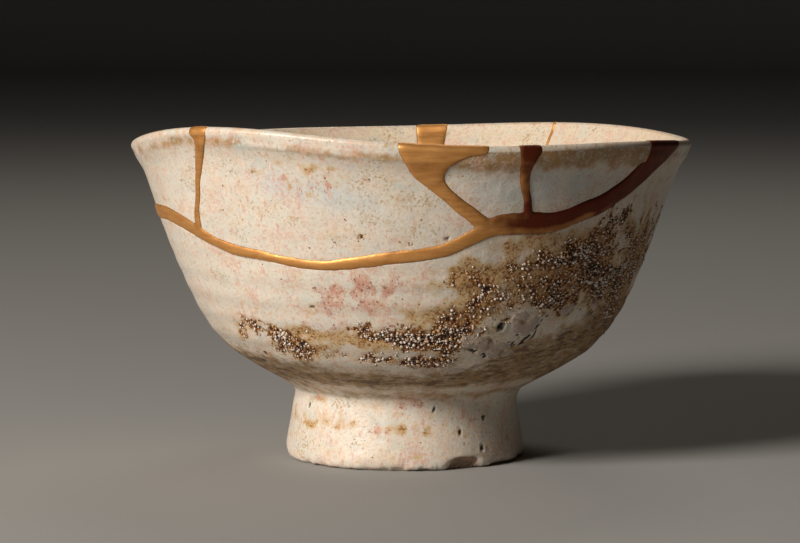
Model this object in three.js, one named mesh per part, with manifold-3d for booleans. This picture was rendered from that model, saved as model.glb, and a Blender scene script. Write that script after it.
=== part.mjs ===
// A kintsugi tea bowl: a glazed stoneware bowl on a tall foot, broken at the rim and rejoined with gold.
// Millimetres, +Z up. The origin is on the table, under the middle of the rim.
// A place on the wall is an angle round the bowl, in degrees from the front (-Y) towards +X, and a height.

import * as THREE from "three";
import { mergeVertices } from "three/addons/utils/BufferGeometryUtils.js";
import Module from "manifold-3d";

const wasm = await Module();
wasm.setup();

// The outer wall from the foot's neck to just under the lip: height, radius.
const wallSide = [
  [18.1, 29.6], [20.2, 33.0], [22.7, 37.4], [26, 43.0], [30, 48.2], [35, 52.4], [42, 56.4], [52, 60.7],
  [62, 64.2], [70, 66.7], [75.5, 68.7], [79.2, 70.9], [81.7, 71.9],
];
const rimHeight = 82.65; // mean height of the lip
const wallSteps = 16;
const lipThickness = 2.3;
const wallThickness = 4.0;
const wallReach = 15; // the wall has its full thickness this far under the lip
const wallLow = 62; // below this height it thickens towards the foot
const baseThickness = 7.4;
const lipSteps = 3;

const floorHeight = 20.4; // lowest point inside
const floorSteps = 4;
const hollowStart = 2; // the inner wall starts at this step of the outer wall

// The foot from its neck to its worn edge: height, radius.
const footSide = [[16.4, 29.0], [13, 29.1], [9, 29.7], [4.5, 30.5], [1.6, 30.9]];
const footRingWidth = 6.6;
const footBevel = 0.9;
const recessHeight = 12.2; // the hollow under the foot
const recessTaper = 0.6;
const recessCorner = 2;
const footOffset = -1.65; // the foot stands a little left of the rim's middle
const footChip = { angle: 30, halfWidth: 11, rise: 2.0 }; // a chip in the foot's lower edge, degrees and mm
const turns = 60; // steps round the bowl

// The lip rises and falls in four slow waves: rise, waves in a turn, angle of a crest.
const rimWaves = [[1.4, 1, 0], [1.7, 2, -31], [0.7, 3, -46], [0.8, 4, 45]];
const waveStart = 40; // the wall follows the lip's waves from this height up

const gap = 0.3; // between the gold and the sherds
const goldProud = 0.35; // the gold stands this far above the glaze, inside and out
const seamTilt = 18; // degrees, the breaks run square to the leaning wall
const cutOut = 9; // how far a cutter runs out of the wall
const cutIn = 14; // and into the bowl
const overLip = 92; // a height clear of the lip

// The long break, from the back round the left side to the front's right: angle, lower and upper height.
const longSeam = [
  [-184.5, 66.0, 70.0], [-172, 64.8, 68.2], [-158, 63.4, 66.6], [-140, 63.2, 66.2], [-120, 64.4, 67.6],
  [-102, 63.4, 66.9], [-86, 62.3, 65.8], [-72.5, 62.6, 66.2], [-66.2, 61.7, 65.4], [-58.8, 59.6, 63.3],
  [-50.5, 57.1, 59.8], [-44.3, 55.5, 58.3], [-35.5, 54.7, 57.2], [-26.9, 53.4, 55.9], [-19.7, 53.1, 55.5],
  [-13.7, 53.6, 56.4], [-4.6, 54.9, 58.0], [2.4, 55.8, 58.9], [8.1, 57.1, 60.6], [12.9, 59.5, 63.4],
  [17.2, 61.5, 66.4], [24.4, 61.9, 67.2], [32.2, 62.3, 67.2], [38.9, 64.4, 69.3], [44.5, 66.1, 71.4],
  [50.3, 69.0, 75.0], [53.1, 70.4, 78.2], [55.3, 71.8, overLip], [60.2, 75.2, overLip],
  [65.5, 79.8, overLip], [68.7, 82.2, overLip],
];

// The breaks that rise from it to the lip: height, left angle, right angle.
const leftSeam = [
  [overLip, -48.9, -43.6], [85.4, -48.6, -43.9], [83.2, -48.2, -44.9], [79.2, -50.3, -47.6],
  [74.4, -52.2, -50.4], [69.3, -54.1, -52.4], [65.4, -56.1, -54.0], [61, -57.3, -54.7],
];
const narrowSeam = [
  [overLip, 20.6, 25.6], [82.2, 20.8, 25.4], [80.0, 21.1, 24.6], [77.2, 21.6, 23.9],
  [73.5, 22.4, 24.4], [70.2, 23.5, 25.3], [65, 24.0, 26.3],
];
const backSeam = [
  [overLip, -188.6, -181.4], [76, -188.3, -181.7], [72, -187.2, -182.4], [68, -185.6, -183.0],
];

// The lost chip, filled with lacquer from the long seam up to the lip, and a crack that parts nothing.
const chipFill = [
  [overLip, -2.9, 14.4], [82.1, -2.4, 14.4], [81.0, -2.0, 11.3], [79.4, -1.3, 8.0], [77.3, -0.3, 6.6],
  [75.6, 1.0, 6.4], [73.7, 3.0, 7.4], [71.1, 5.8, 10.1], [67.7, 9.2, 14.1], [65.3, 12.0, 17.0], [62.6, 14.9, 18.4],
];
const hairline = [[overLip, 145.0, 146.0], [76, 144.8, 145.7], [66, 146.0, 146.6]];

const radians = THREE.MathUtils.degToRad;
const smooth = THREE.MathUtils.smoothstep;

function placed(angle, radius, height) {
  return [radius * Math.sin(angle), -radius * Math.cos(angle), height];
}

function lipWave(angle) {
  const wave = ([rise, count, crest]) => rise * Math.cos(count * (angle - radians(crest)));
  return rimWaves.reduce((sum, entry) => sum + wave(entry), 0);
}

// The chip lifts the foot's lowest edge, most at its middle.
function chipRise(angle) {
  const turn = angle - radians(footChip.angle) + Math.PI;
  const off = Math.abs(THREE.MathUtils.euclideanModulo(turn, 2 * Math.PI) - Math.PI);
  return footChip.rise * Math.max(0, 1 - (off / radians(footChip.halfWidth)) ** 2);
}

function thicknessAt(height) {
  const upper = smooth(rimHeight - height, 0, wallReach);
  const lower = 1 - smooth(height, wallSide[hollowStart][0], wallLow);
  return lipThickness + (wallThickness - lipThickness) * upper + (baseThickness - wallThickness) * lower;
}

// Evenly spaced points up the outer wall, each with its outward normal.
function outerWall() {
  const points = wallSide.map(([z, r]) => new THREE.Vector3(r, z, 0));
  const curve = new THREE.CatmullRomCurve3(points, false, "centripetal");
  return Array.from({ length: wallSteps + 1 }, (_, i) => {
    const point = curve.getPointAt(i / wallSteps);
    const along = curve.getTangentAt(i / wallSteps);
    return { r: point.x, z: point.y, nr: along.y, nz: -along.x };
  });
}

// The section from the middle of the floor over the lip to the middle of the recess, as [radius, height].
// The wall and lip are fuller by proud on both sides.
function section(proud) {
  const wall = outerWall();
  const inner = wall.slice(hollowStart).map((p) => {
    const depth = thicknessAt(p.z) + proud;
    return [p.r - p.nr * depth, p.z - p.nz * depth];
  });
  const [edgeRadius, edgeHeight] = inner[0];
  const lowest = floorHeight + proud;
  const floor = Array.from({ length: floorSteps }, (_, i) => {
    const share = i / floorSteps;
    return [edgeRadius * share, lowest + (edgeHeight - lowest) * share ** 2];
  });
  const top = wall[wallSteps];
  const lipRadius = lipThickness / 2 + proud;
  const lipMiddle = [top.r - (top.nr * lipThickness) / 2, top.z - (top.nz * lipThickness) / 2];
  const outward = Math.atan2(top.nz, top.nr);
  const lip = Array.from({ length: lipSteps }, (_, i) => {
    const turn = outward + Math.PI * (1 - (i + 1) / (lipSteps + 1));
    return [lipMiddle[0] + lipRadius * Math.cos(turn), lipMiddle[1] + lipRadius * Math.sin(turn)];
  });
  const outer = wall.map((p) => [p.r + p.nr * proud, p.z + p.nz * proud]).reverse();
  const foot = footSide.map(([z, r]) => [r, z]);
  const ringOuter = foot[foot.length - 1][0];
  const ringInner = ringOuter - footRingWidth;
  const under = [
    [ringOuter - footBevel, 0],
    [ringInner + footBevel, 0],
    [ringInner, footBevel],
    [ringInner - recessTaper, recessHeight - recessCorner],
    [ringInner - recessTaper - recessCorner, recessHeight],
    [0, recessHeight],
  ];
  return [...floor, ...inner, ...lip, ...outer, ...foot, ...under];
}

// Turns the section round the axis, with the lip's waves, the foot's offset and the chip in the foot's edge.
function turned(outline) {
  const rows = outline.length;
  const [edgeHeight, edgeRadius] = footSide[footSide.length - 1];
  const positions = [];
  const index = [];
  for (let j = 0; j < turns; j += 1) {
    const angle = (2 * Math.PI * j) / turns;
    const next = (j + 1) % turns;
    for (let i = 0; i < rows; i += 1) {
      const [radius, height] = outline[i];
      const onEdge = radius === edgeRadius && height === edgeHeight;
      const lift = lipWave(angle) * smooth(height, waveStart, rimHeight) + (onEdge ? chipRise(angle) : 0);
      const aside = footOffset * (1 - smooth(height, recessHeight, wallSide[hollowStart][0]));
      const [x, y, z] = placed(angle, radius, height + lift);
      positions.push(x + aside, y, z);
      if (i === rows - 1) continue;
      const [a, b, c, d] = [j * rows + i, next * rows + i, next * rows + i + 1, j * rows + i + 1];
      index.push(a, c, b, a, d, c);
    }
  }
  return solid(positions, index);
}

// A closed mesh as a solid, with its shared corners merged and its empty triangles left out.
function solid(positions, index) {
  const geometry = new THREE.BufferGeometry();
  geometry.setAttribute("position", new THREE.Float32BufferAttribute(positions, 3));
  geometry.setIndex(index);
  const merged = mergeVertices(geometry, 1e-4);
  const corners = merged.index.array;
  const kept = [];
  for (let i = 0; i < corners.length; i += 3) {
    const [a, b, c] = corners.slice(i, i + 3);
    if (a !== b && b !== c && c !== a) kept.push(a, b, c);
  }
  const vertProperties = merged.attributes.position.array;
  return new wasm.Manifold(new wasm.Mesh({ numProp: 3, vertProperties, triVerts: new Uint32Array(kept) }));
}

// The outer wall's radius at a height, near enough to place a cutter.
function wallRadius(height) {
  const above = wallSide.findIndex(([z]) => z > height);
  if (above < 1) return wallSide[wallSide.length - 1][1];
  const [lowHeight, lowRadius] = wallSide[above - 1];
  const [highHeight, highRadius] = wallSide[above];
  return lowRadius + ((highRadius - lowRadius) * (height - lowHeight)) / (highHeight - lowHeight);
}

// A strip between two edges on the wall, carried right through it.
function strip(edges) {
  const lean = radians(seamTilt);
  const across = ([angle, height]) => {
    const radius = wallRadius(height);
    const out = [radius + cutOut * Math.cos(lean), height - cutOut * Math.sin(lean)];
    const into = [radius - cutIn * Math.cos(lean), height + cutIn * Math.sin(lean)];
    return [...placed(radians(angle), ...out), ...placed(radians(angle), ...into)];
  };
  const positions = edges.flatMap((pair) => pair.flatMap(across));
  const index = [];
  const quad = (a, b, c, d) => index.push(a, b, c, a, c, d);
  const last = 4 * (edges.length - 1);
  quad(0, 1, 3, 2);
  for (let here = 0; here < last; here += 4) {
    const next = here + 4;
    quad(here, here + 2, next + 2, next);
    quad(here + 1, next + 1, next + 3, here + 3);
    quad(here, next, next + 1, here + 1);
    quad(here + 2, here + 3, next + 3, next + 2);
  }
  quad(last, last + 2, last + 3, last + 1);
  return solid(positions, index);
}

// Both kinds of seam are widened by room on each side.
function rising(rows, room) {
  return strip(rows.map(([height, left, right]) => {
    const wider = THREE.MathUtils.radToDeg(room / wallRadius(height));
    return [[right + wider, height], [left - wider, height]];
  }));
}

function running(columns, room) {
  return strip(columns.map(([angle, low, high]) => [[angle, high + room], [angle, low - room]]));
}

function repair(room) {
  return running(longSeam, room)
    .add(rising(leftSeam, room))
    .add(rising(narrowSeam, room))
    .add(rising(backSeam, room))
    .add(rising(chipFill, room));
}

const pot = turned(section(0));
const fullerPot = turned(section(goldProud));

// The breaks part the pot into its main piece and four sherds, taken here from the left to the right.
const broken = pot.subtract(repair(gap)).subtract(rising(hairline, gap)).decompose();
const [body, ...sherds] = broken.sort((a, b) => b.volume() - a.volume());
const middleX = (piece) => piece.boundingBox().min[0] + piece.boundingBox().max[0];
sherds.sort((a, b) => middleX(a) - middleX(b));

function mesh(name, piece, surface) {
  const { vertProperties, triVerts } = piece.getMesh();
  const geometry = new THREE.BufferGeometry();
  geometry.setAttribute("position", new THREE.BufferAttribute(vertProperties, 3));
  geometry.setIndex(new THREE.BufferAttribute(triVerts, 1));
  const made = new THREE.Mesh(geometry, new THREE.MeshStandardMaterial(surface));
  made.name = name;
  return made;
}

const glaze = { color: "#d8c6ab", roughness: 0.35, metalness: 0 };
const gold = { color: "#b57a3c", roughness: 0.4, metalness: 0.9 };
const sherdNames = ["left_rim_sherd", "front_rim_sherd", "middle_rim_sherd", "right_rim_sherd"];

const bowl = new THREE.Group();
bowl.add(mesh("bowl_body", body, glaze));
sherdNames.forEach((name, i) => bowl.add(mesh(name, sherds[i], glaze)));
bowl.add(mesh("gold_seam", fullerPot.intersect(repair(0)), gold));
bowl.add(mesh("hairline_repair", fullerPot.intersect(rising(hairline, 0)), gold));

export default bowl;
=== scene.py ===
import math

import bpy
import numpy as np
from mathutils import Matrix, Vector


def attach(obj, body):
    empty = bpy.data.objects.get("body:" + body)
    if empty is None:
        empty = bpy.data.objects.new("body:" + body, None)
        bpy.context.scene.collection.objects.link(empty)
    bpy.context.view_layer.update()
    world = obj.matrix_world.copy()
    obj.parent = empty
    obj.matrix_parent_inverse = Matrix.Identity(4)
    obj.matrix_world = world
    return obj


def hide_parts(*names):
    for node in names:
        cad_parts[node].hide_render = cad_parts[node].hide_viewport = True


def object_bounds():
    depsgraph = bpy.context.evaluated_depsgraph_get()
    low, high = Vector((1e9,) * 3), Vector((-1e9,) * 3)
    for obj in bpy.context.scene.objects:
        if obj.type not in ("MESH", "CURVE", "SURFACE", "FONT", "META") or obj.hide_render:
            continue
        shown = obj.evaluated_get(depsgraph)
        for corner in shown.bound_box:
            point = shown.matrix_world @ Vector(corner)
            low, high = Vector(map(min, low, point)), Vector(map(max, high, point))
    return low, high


# A kintsugi tea bowl: glazed stoneware sherds round a thrown body, joined by raised gold seams.
# Sizes are millimetres. An angle runs in degrees from the front of the bowl (-Y) towards its right (+X).

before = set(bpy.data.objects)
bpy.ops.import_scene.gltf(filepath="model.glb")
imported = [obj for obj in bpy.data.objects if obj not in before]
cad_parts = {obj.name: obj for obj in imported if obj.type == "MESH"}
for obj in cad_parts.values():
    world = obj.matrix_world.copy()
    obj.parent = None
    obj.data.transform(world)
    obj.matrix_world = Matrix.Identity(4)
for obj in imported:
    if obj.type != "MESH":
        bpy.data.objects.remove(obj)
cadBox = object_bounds()

pot = {
    "width": 143.8,             # across the lip, which sets the scale against the frame
    "wall": [(18.1, 29.6), (20.2, 33.0), (22.7, 37.4), (26, 43.0), (30, 48.2), (35, 52.4), (42, 56.4),
             (52, 60.7), (62, 64.2), (70, 66.7), (75.5, 68.7), (79.2, 70.9), (81.7, 71.9)],
    "rimHeight": 82.65,
    "lipThickness": 2.3,
    "wallThickness": 4.0,
    "wallReach": 15.0,
    "wallLow": 62.0,
    "baseThickness": 7.4,
    "hollowStart": 22.7,        # height of the outer wall where the floor inside begins
    "floorHeight": 20.4,
    "recessHeight": 12.2,
    "footOffset": -1.65,
    "waveStart": 40.0,
    "rimWaves": [(1.4, 1, 0), (1.7, 2, -31), (0.7, 3, -46), (0.8, 4, 45)],
    "foot": [(0, 12.2), (8, 12.2), (16, 12.2), (20.4, 11.9), (22.6, 10.6), (23.6, 8), (24.0, 4.5),
             (24.4, 1.1), (24.9, 0.25), (25.6, 0), (27.4, 0), (29.4, 0), (30.2, 0.25), (30.75, 0.8),
             (30.9, 1.6), (30.5, 4.5), (29.7, 9), (29.1, 13), (29.0, 16.4), (29.6, 18.1)],
    "chip": {"angle": 30, "halfWidth": 10, "rise": 2.6},
}

repair = {
    "proud": 0.34,              # the gold stands this far above the glaze
    "sink": 0.14,               # its edge dips this far under
    "edge": 0.30,               # width over which it rises
    "crown": 0.10,              # and its middle swells this much more
    "fillet": 1.1,              # the lacquer rounds the inside corners where seams meet
    "lap": 0.30,                # it laps over the sherds' edges by this much
    "spill": 0.15,              # and was brushed on this much wider than the lines below
    "cell": 0.36,               # side of one square of the gold's mesh
    "meshSpan": (-191, 75),     # angles between which the gold is laid
    "longEnds": (-185.5, 69.6),             # where the long seam starts and stops
    "overLipFrom": 54.4,        # from this angle on the long seam's upper edge is above the lip
    "wholeRim": (69.0, -184.6, -188.6),     # the rim that never broke: front end, back end, first column
    # angle, lower edge, upper edge
    "long": [(-184.5, 66.0, 70.0), (-172, 64.8, 68.2), (-158, 63.4, 66.6), (-140, 63.2, 66.2),
             (-120, 64.4, 67.6), (-102, 63.4, 66.9), (-86, 62.3, 65.8), (-72.5, 62.6, 66.2),
             (-66.2, 61.7, 65.4), (-58.8, 59.6, 63.3), (-50.5, 57.1, 59.8), (-44.3, 55.5, 58.3),
             (-35.5, 54.7, 57.2), (-26.9, 53.4, 55.9), (-19.7, 53.1, 55.5), (-13.7, 53.6, 56.4),
             (-4.6, 54.9, 58.0), (2.4, 55.8, 58.9), (8.1, 57.1, 60.6), (12.9, 59.5, 63.4),
             (17.2, 61.5, 66.4), (24.4, 61.9, 67.2), (32.2, 62.3, 67.2), (38.9, 64.4, 69.3),
             (44.5, 66.1, 71.4), (50.3, 69.0, 75.0), (53.1, 70.4, 78.2), (55.3, 71.8, 92),
             (60.2, 75.2, 92), (65.5, 79.8, 92), (68.7, 82.2, 92)],
    # the seams that rise from it: height, left edge, right edge
    "left": [(92, -48.9, -43.6), (85.4, -48.6, -43.9), (83.2, -48.2, -44.9), (79.2, -50.3, -47.6),
             (74.4, -52.2, -50.4), (69.3, -54.1, -52.4), (65.4, -56.1, -54.0), (61, -57.3, -54.7)],
    "narrow": [(92, 20.6, 25.6), (82.2, 20.8, 25.4), (80.0, 21.1, 24.6), (77.2, 21.6, 23.9),
               (73.5, 22.4, 24.4), (70.2, 23.5, 25.3), (65, 24.0, 26.3)],
    "back": [(92, -188.6, -181.4), (76, -188.3, -181.7), (72, -187.2, -182.4), (68, -185.6, -183.0)],
    "chipFill": [(92, -2.9, 14.4), (82.1, -2.4, 14.4), (81.0, -2.0, 11.3), (79.4, -1.3, 8.0),
                 (77.3, -0.3, 6.6), (75.6, 1.0, 6.4), (73.7, 3.0, 7.4), (71.1, 5.8, 10.1),
                 (67.7, 9.2, 14.1), (65.3, 12.0, 17.0), (62.6, 14.9, 18.4)],
    "hairline": [(92, 145.1, 145.9), (76, 144.9, 145.6), (66, 146.1, 146.5)],
}

mm = (cadBox[1].x - cadBox[0].x) / pot["width"]
lipBase = pot["wall"][-1][0]
meanRadius = 66.0               # of the upper wall, for lengths along it
footRadius = 29.0
neckHeight = pot["wall"][0][0]  # where the foot meets the belly
edgeOver = 90.0                 # seam heights above this are clear of the lip
farAbove = 120.0                # the edge of a seam that has run over the lip


def smooth(x, low, high):
    t = np.clip((x - low) / (high - low), 0, 1)
    return t * t * (3 - 2 * t)


def curveThrough(points, count, fine=24):
    # centripetal Catmull-Rom line through the points, then walked at even steps
    p = np.array(points, float)
    p = np.vstack([2 * p[0] - p[1], p, 2 * p[-1] - p[-2]])
    knot = np.sqrt(np.linalg.norm(np.diff(p, axis=0), axis=1))[:, None]
    before, here, after = knot[:-2], knot[1:-1], knot[2:]
    a, b, c, d = p[:-3], p[1:-2], p[2:-1], p[3:]
    leave = ((b - a) / before - (c - a) / (before + here) + (c - b) / here) * here
    arrive = ((c - b) / here - (d - b) / (here + after) + (d - c) / after) * here
    t = np.linspace(0, 1, fine, endpoint=False)[:, None, None]
    line = ((2 * t**3 - 3 * t**2 + 1) * b + (t**3 - 2 * t**2 + t) * leave
            + (3 * t**2 - 2 * t**3) * c + (t**3 - t**2) * arrive)
    line = np.vstack([line.transpose(1, 0, 2).reshape(-1, p.shape[1]), p[-2]])
    walked = np.concatenate([[0], np.cumsum(np.linalg.norm(np.diff(line, axis=0), axis=1))])
    even = np.linspace(0, walked[-1], count)
    return np.stack([np.interp(even, walked, line[:, k]) for k in range(p.shape[1])], axis=1)


wallLine = curveThrough(pot["wall"], 900)
wallStep = np.gradient(wallLine, axis=0)
wallStep /= np.linalg.norm(wallStep, axis=1)[:, None]
wallWay = np.concatenate([[0], np.cumsum(np.linalg.norm(np.diff(wallLine, axis=0), axis=1))])
wallLength = wallWay[-1]


def wallAt(height):
    # radius and outward normal of the plain outer wall at a height
    radius = np.interp(height, wallLine[:, 0], wallLine[:, 1])
    normalOut = np.interp(height, wallLine[:, 0], wallStep[:, 0])
    normalUp = np.interp(height, wallLine[:, 0], -wallStep[:, 1])
    return radius, normalOut, normalUp


def thicknessAt(height):
    upper = smooth(pot["rimHeight"] - height, 0, pot["wallReach"])
    lower = 1 - smooth(height, pot["hollowStart"], pot["wallLow"])
    return (pot["lipThickness"] + (pot["wallThickness"] - pot["lipThickness"]) * upper
            + (pot["baseThickness"] - pot["wallThickness"]) * lower)


def lipWave(angle):
    return sum(rise * np.cos(count * (angle - math.radians(crest))) for rise, count, crest in pot["rimWaves"])


def finishedHeight(angle, height):
    # the lip's waves lift the upper wall
    return height + lipWave(angle) * smooth(height, pot["waveStart"], pot["rimHeight"])


def place(angle, radius, height):
    # a point of the turned form: the lip's waves lift it and the foot's offset moves it aside
    aside = pot["footOffset"] * (1 - smooth(height, pot["recessHeight"], pot["hollowStart"]))
    return np.stack([radius * np.sin(angle) + aside, -radius * np.cos(angle),
                     finishedHeight(angle, height)], axis=-1)


def nominal(angle, height):
    # the height before the lip's waves, for a height measured on the finished pot
    plain = np.array(height, float)
    for _ in range(8):
        plain = height - lipWave(angle) * smooth(plain, pot["waveStart"], pot["rimHeight"])
    return plain


def cloud(points, size, seed):
    # value noise: random values on a lattice, blended smoothly between its corners
    lattice = np.random.default_rng(seed).random((32, 32, 32))
    scaled = points / size + 200.0 + seed * 3.7
    cell = np.floor(scaled).astype(int)
    t = scaled - cell
    t = t * t * (3 - 2 * t)
    total = 0
    for corner in np.ndindex(2, 2, 2):
        weight = np.prod([t[..., k] if corner[k] else 1 - t[..., k] for k in range(3)], axis=0)
        total = total + weight * lattice[tuple((cell[..., k] + corner[k]) % 32 for k in range(3))]
    return total


def drift(points, size, seed, layers=3):
    # several octaves of value noise, centred on zero, about -1 to 1
    total, share = 0, 1.0
    for layer in range(layers):
        total = total + share * (cloud(points, size / 2**layer, seed + layer) * 2 - 1)
        share *= 0.5
    return 2.4 * total / (2 - 2.0 ** (1 - layers))


def turnFrom(angle, at):
    # degrees from one angle to another, from -180 to 180
    return (np.degrees(angle) - at + 180) % 360 - 180


def spots(angle, height, table):
    # soft ellipses on the wall: angle, height, half width and half height in mm, strength
    total = 0
    height = finishedHeight(angle, height)
    radius = np.maximum(np.interp(height, wallLine[:, 0], wallLine[:, 1]), footRadius)
    for at, level, wide, high, strength in table:
        across = np.radians(turnFrom(angle, at)) * radius
        total = total + strength * np.exp(-((across / wide) ** 2 + ((height - level) / high) ** 2) * 0.7)
    return total


# Where each thing happened to the glaze in the kiln: angle, height, half width, half height, strength.
glazeMap = {
    "crawl": [
        (47, 58, 8, 4, 1.1), (38, 57.5, 5, 3, 1), (53, 63, 5, 3, .9), (60, 59, 4, 4, .7),
        (44, 47.5, 8, 3.6, 1.1), (38, 45, 5, 2, .8), (52, 50, 5, 4, .9), (33, 55, 4, 2, .6),
        (42, 52.5, 8, 3.5, .7), (15, 53.5, 4, 2.4, .26), (15, 49.5, 5, 2.4, .30), (24, 47, 5, 2.2, .85),
        (27, 53.5, 5, 2, .55), (20, 51, 5, 2, .28), (33, 49.5, 5, 2, .5), (30, 46, 5, 2, .75),
        (2, 35.5, 6, 2.4, 1.15), (9, 34.5, 5, 2.4, 1.05), (-5, 37, 5, 1.8, .9), (-12, 37.6, 4, 1.4, .8),
        (13, 41, 4, 2.6, .75), (8, 43.5, 3.4, 1.4, .5), (3, 45, 3, 1, .35), (-3, 46, 2, 1.6, .35),
        (17, 44.5, 4, 1.8, .6), (-2, 40, 6, 1.2, .35), (17, 38, 3, 1.6, .7), (-22, 31.6, 6, 1.1, .6),
        (-13, 30.4, 6, 1.2, .75), (-4, 29.6, 6, 1.2, .75), (4, 30, 5, 1.2, .7), (11, 30.5, 4, 1, .5),
        (-33, 31.8, 4, 1.8, 1), (-37, 34.5, 4, 1.8, .95), (-42, 36.6, 4.5, 1.6, .75),
        (-48, 38, 4, 1.4, .5), (-50, 35, 5, 1.6, .4), (-42, 31, 5, 1.4, .4), (37, 42, 5, 1.6, .5),
        (21, 43, 5, 2, .5), (10, 51, 3, 2, .22), (24, 40.5, 3, 1.4, .5), (60, 52, 4, 4, .6),
        (-27, 36.8, 4, .7, .4), (66, 62, 4, 5, .45), (73, 62, 4, 6, .4), (68, 52, 4, 6, .5),
        (62, 46, 5, 5, .7), (56, 47, 5, 4, .8), (66, 40, 5, 3, .5), (79, 54, 5, 8, .45),
        (-17, 61, 2.4, 2, .42), (-11, 61.5, 3, 1, .4), (-5, 60.5, 4, .9, .36), (-2, 59.8, 3, .8, .32),
        (-14.5, 65, .8, 1.6, .4), (48, 66.5, 5, 1.6, .5),
    ],
    "blush": [
        (-22, 49.5, 2.2, 3.2, .95), (-18, 47.5, 2, 4, 1), (-20, 42, 1.6, 3.4, .8),
        (-20, 38.8, 1.6, 1.2, .6), (-12, 49, 2.2, 3.4, 1.05), (-10, 44, 2.4, 2.2, .85),
        (-6.5, 46, 1.6, 2, .5), (-4, 51, 2.4, 2, .5), (0, 53.6, 3, 1.2, .45), (-16, 60.9, 2.4, 1.8, .65),
        (-7, 59.8, 4, 1, .45), (-25.5, 63.8, .9, 2.8, .6), (-31, 66, .9, 2, .4), (-12, 69.3, .8, 1, .4),
        (-24, 72.5, .8, 1.4, .5), (-34, 72, 1, 2, .4), (-37, 68, 1.2, 2, .4), (-23, 36, 2, 2, .4),
        (-48, 70, 1.2, 2.4, .3), (9, 72, 2, 1.4, .4), (-62, 68, 1, 3, .3), (-64, 33, 8, 3, .5),
        (-18, 10.8, 3, 1.6, .9), (-34, 10.4, 4, 1, .6), (-8, 10, 4, 1.2, .7), (-62, 9, 3, 1.6, .6),
        (-24, 15.6, 5, .9, .5), (4, 17, 6, .9, .6), (-58, 17, 5, .8, .6), (14, 4, 4, 1.6, .4),
        (4, 54.5, 4, 1, .4), (140, 52, 6, 6, .5), (-110, 52, 7, 5, .5),
    ],
    "cool": [
        (-23, 71, 15, 5, .7), (-10, 70, 10, 6, .6), (0, 63, 8, 4, .5), (-33, 76, 8, 3, .4),
        (15, 73, 6, 5, .9), (22, 72, 8, 5, .9), (32, 73, 8, 5, .9), (43, 74.5, 9, 4, .9),
        (-38, 61, 8, 4, .4), (-60, 72, 6, 6, .4), (-34, 44, 9, 4, .4), (17, 56, 7, 3, .4),
        (5, 52, 8, 5, .3), (-110, 73, 16, 6, .5), (120, 66, 20, 9, .4), (175, 74, 14, 5, .5),
    ],
    "island": [
        (30, 37.5, 3.2, 2.6, 1), (28, 41.5, 2.4, 1.6, .7), (33, 40, 2, 1.4, .6), (22, 33.4, 3.2, 1.8, 1),
        (19, 35.4, 2, 1.2, .7), (26, 31.4, 2.6, .9, .7), (15, 35, 1.6, 1.6, .8), (13, 27.8, 3.4, .7, .9),
        (19, 28.5, 2.6, .7, .8), (43, 42.2, 2.2, 1.6, .7), (49, 43, 2, 1.4, .6), (54, 42, 2, 2, .6),
        (36, 41.5, 2, 1, .5), (62, 55, 1.2, 5, .5), (66, 62, 1, 4, .45), (59, 64, 1.2, 3, .4),
    ],
    "ochre": [
        (24, 51, 14, 6, .6), (45, 52, 13, 8, .75), (48, 44, 12, 4, .8), (4, 38, 14, 4, .5),
        (16, 41, 8, 4, .5), (38, 60, 12, 2.4, .6), (0, 44, 6, 3, .35), (-16, 34, 12, 3, .5),
        (-38, 33, 9, 4, .6), (21, 59, 5, 2, .7), (33, 61, 6, 1.6, .8), (40, 53.5, 8, 3, .8),
        (31, 50, 8, 2.4, .8), (46, 62, 6, 2, .6), (14, 52, 6, 3, .7), (20, 53, 8, 2, .5),
        (12, 48, 6, 3, .5), (3, 42.5, 7, 2, .6), (15, 43, 7, 3, .7), (-6, 34.4, 12, 1.2, .8),
        (-30, 37, 7, 1.2, .7), (-48, 37, 5, 2.4, .7), (-62, 35, 5, 2, .6), (-30, 32, 6, 2, .7),
        (-18, 36, 8, 1.6, .6), (66, 58, 6, 12, 1), (70, 44, 7, 8, 1), (58, 54, 6, 10, .5),
        (3, 60.5, 4, .8, .4), (-64, 11.4, 5, 2.4, .8), (-42, 12.6, 6, 2, .7), (-56, 10, 3, 1, .8),
        (-30, 10.6, 6, 1.2, .7), (-12, 10.4, 3, 1.2, .8), (-2, 10.3, 2, 1.3, .9), (11, 10, 1.6, 1.6, .9),
        (-5, 14.4, 5, .9, .4), (14, 14, 3, 1, .4), (6, 5, 8, 2.6, .4), (28, 9, 2.6, 1.6, .4),
        (-22, 3, 12, 1.2, .3), (-50, 16.8, 10, .9, .5), (-28, 79, 2, 1, .4), (-22, 77, 1.6, 1.2, .4),
        (-35, 76.6, 1.3, .7, .5), (-33, 76.4, 2, 1, .3), (-21.5, 71.6, 1.4, .7, .6),
        (-18, 78.6, 5, 1.2, .5), (27, 56, 1.1, .6, .8), (-40, 72, 1, 2.2, .4), (-26, 74, .8, 2, .4),
        (-10, 67, 1, 1, .35),
    ],
}
# Round the back the beaded belt runs on, plainer.
hiddenSides = {"height": 39, "spread": 9, "strength": 0.75}

# Pits that burst through the glaze: angle, height, radius, depth.
pits = [
    (23.2, 38.8, 0.85, 1.5), (-25, 43.7, 0.5, 0.5), (-58, 14.8, 0.5, 0.5), (14, 15.4, 0.45, 0.5),
    (43, 12.6, 0.6, 0.6), (28, 9.4, 0.5, 0.5), (40, 4.9, 0.6, 0.6), (-34.6, 76.6, 0.4, 0.25),
    (7.5, 61.2, 0.45, 0.35), (33, 59.4, 0.3, 0.3), (50, 43, 0.35, 0.4), (-49, 30, 0.5, 0.4),
    (-30, 15.5, 0.3, 0.3), (100, 62, 0.4, 0.4), (140, 14, 0.5, 0.5), (-120, 66, 0.4, 0.3),
    (-95, 45, 0.4, 0.4),
]


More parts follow.
